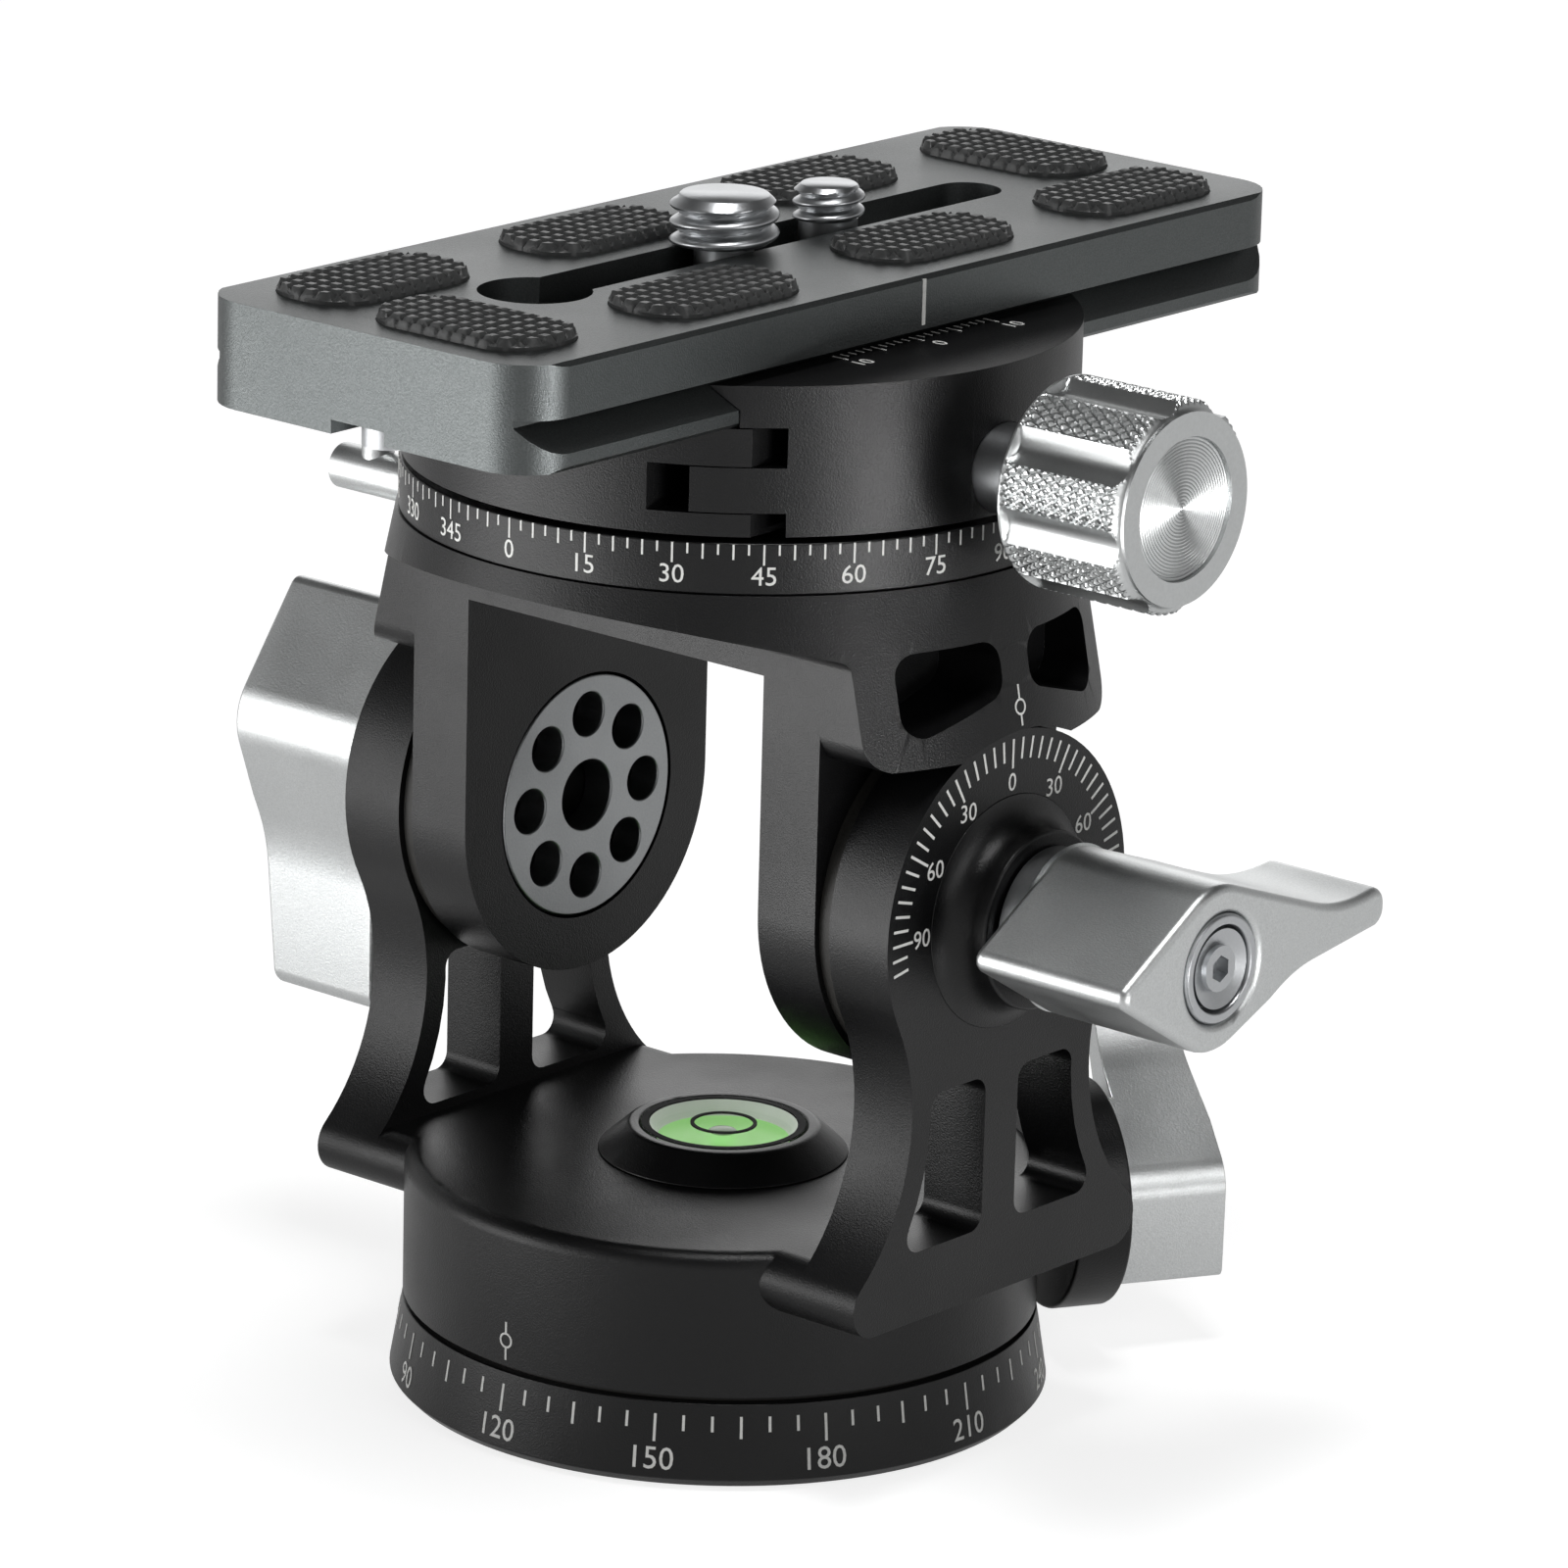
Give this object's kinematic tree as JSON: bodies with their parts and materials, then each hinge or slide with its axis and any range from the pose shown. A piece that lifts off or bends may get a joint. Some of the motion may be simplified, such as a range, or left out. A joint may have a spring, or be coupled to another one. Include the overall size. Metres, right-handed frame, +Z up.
{
  "type": "two-way pan tilt head",
  "caption": "Pan and tilt tripod head: graduated base, fork with tilting yoke and locking levers, panning quick-release clamp and plate with camera screws.",
  "frame": {"origin": "centre of the tripod socket's mouth, in the plane of the base's underside", "axes": "+Z up along the pan axis, +X along the tilt axis towards the clamp knob, -Y to the front"},
  "size_m": [0.1084, 0.1, 0.1083],
  "materials": {
    "black_anodised": "satin black anodised, lightly bead blasted",
    "plate_anodised": "satin dark grey anodised",
    "grey_anodised": "satin grey anodised",
    "satin_silver": "bead blasted, clear anodised",
    "turned_aluminium": "bright turned with a diamond knurl",
    "steel": "bright turned stainless steel",
    "brass": "turned",
    "rubber": "matt moulded black",
    "acetal": "turned natural white",
    "friction_polymer": "matt dark polymer",
    "vial": "clear acrylic",
    "level_fluid": "clear yellow-green spirit"
  },
  "bodies": {
    "base": {"base_ring": "black_anodised", "tripod_bush": "steel", "pan_friction_ring": "friction_polymer"},
    "pan_body": {"pan_fork": "black_anodised", "level_housing": "black_anodised", "level_vial": "vial", "level_fluid": "level_fluid", "pan_lock_shoe": "brass", "pan_retainer_screws": "steel", "tilt_bush_right": "acetal", "tilt_bush_left": "acetal", "tilt_collar_right": "black_anodised", "tilt_collar_left": "black_anodised", "pan_lock_collar": "black_anodised"},
    "yoke": {"yoke": "black_anodised", "tilt_disc_right": "grey_anodised", "tilt_disc_left": "grey_anodised", "tilt_stud_right": "steel", "tilt_stud_left": "steel", "tilt_friction_right": "friction_polymer", "tilt_friction_left": "friction_polymer", "top_scale_ring": "black_anodised", "top_bearing_ring": "friction_polymer", "top_lock_shoe": "brass"},
    "clamp": {"clamp_body": "black_anodised", "clamp_spindle": "steel", "spindle_screws": "steel", "spindle_keeper": "steel", "keeper_bolt": "steel"},
    "jaw": {"clamp_jaw": "black_anodised", "jaw_guide_pins": "steel"},
    "knob": {"clamp_knob": "turned_aluminium", "clamp_screw": "steel"},
    "plate": {"qr_plate": "plate_anodised", "grip_pad_1": "rubber", "grip_pad_2": "rubber", "grip_pad_3": "rubber", "grip_pad_4": "rubber", "grip_pad_5": "rubber", "grip_pad_6": "rubber", "grip_pad_7": "rubber", "grip_pad_8": "rubber", "stop_screws": "steel"},
    "large_carrier": {"screw_washer_large": "acetal"},
    "large_screw": {"camera_screw_large": "steel"},
    "small_carrier": {"screw_washer_small": "acetal"},
    "small_screw": {"camera_screw_small": "steel"},
    "right_lever": {"tilt_lever_right": "satin_silver", "lever_insert_right": "steel", "lever_washer_right": "steel", "lever_screw_right": "steel"},
    "left_lever": {"tilt_lever_left": "satin_silver", "lever_insert_left": "steel", "lever_washer_left": "steel", "lever_screw_left": "steel"},
    "pan_lever": {"pan_lock_lever": "satin_silver", "pan_lock_stud": "steel", "pan_lock_washer": "steel", "pan_lock_screw": "steel"},
    "top_lock": {"top_lock_screw": "satin_silver"}
  },
  "joints": [
    {"name": "base_pan", "type": "hinge", "parent": "base", "child": "pan_body", "pos_m": [0, 0, 0.014], "axis": [0, 0, 1], "continuous": true},
    {"name": "tilt", "type": "hinge", "parent": "pan_body", "child": "yoke", "pos_m": [0, 0, 0.0502], "axis": [1, 0, 0], "range_deg": [-45, 85]},
    {"name": "top_pan", "type": "hinge", "parent": "yoke", "child": "clamp", "pos_m": [0, 0, 0.08], "axis": [0, 0, 1], "continuous": true},
    {"name": "jaw_slide", "type": "slide", "parent": "clamp", "child": "jaw", "axis": [1, 0, 0], "range_m": [0, 0.003]},
    {"name": "knob_turn", "type": "hinge", "parent": "jaw", "child": "knob", "pos_m": [0, 0, 0.089], "axis": [1, 0, 0], "range_deg": [-1, 1081]},
    {"name": "plate_slide", "type": "slide", "parent": "clamp", "child": "plate", "axis": [0, 1, 0], "range_m": [-0.015, 0.012]},
    {"name": "large_shift", "type": "slide", "parent": "plate", "child": "large_carrier", "axis": [0, 1, 0], "range_m": [-0.022, 0]},
    {"name": "large_turn", "type": "hinge", "parent": "large_carrier", "child": "large_screw", "pos_m": [0, -0.0028, 0.1], "axis": [0, 0, 1], "continuous": true},
    {"name": "small_shift", "type": "slide", "parent": "plate", "child": "small_carrier", "axis": [0, 1, 0], "range_m": [0, 0.018]},
    {"name": "small_turn", "type": "hinge", "parent": "small_carrier", "child": "small_screw", "pos_m": [0, 0.011, 0.1], "axis": [0, 0, 1], "continuous": true},
    {"name": "right_lever_turn", "type": "hinge", "parent": "pan_body", "child": "right_lever", "pos_m": [0, 0, 0.0502], "axis": [1, 0, 0], "range_deg": [0, 120]},
    {"name": "left_lever_turn", "type": "hinge", "parent": "pan_body", "child": "left_lever", "pos_m": [0, 0, 0.0502], "axis": [-1, 0, 0], "range_deg": [0, 70]},
    {"name": "pan_lever_turn", "type": "hinge", "parent": "pan_body", "child": "pan_lever", "pos_m": [0, 0, 0.014], "axis": [0.5, 0.866, 0], "range_deg": [0, 90]},
    {"name": "top_lock_turn", "type": "hinge", "parent": "yoke", "child": "top_lock", "pos_m": [0, 0, 0.075], "axis": [-1, 0, 0], "range_deg": [0, 90]}
  ],
  "couplings": [
    {"joint": "knob_turn", "follows": "jaw_slide", "rad_per_m": 6283.2}
  ]
}
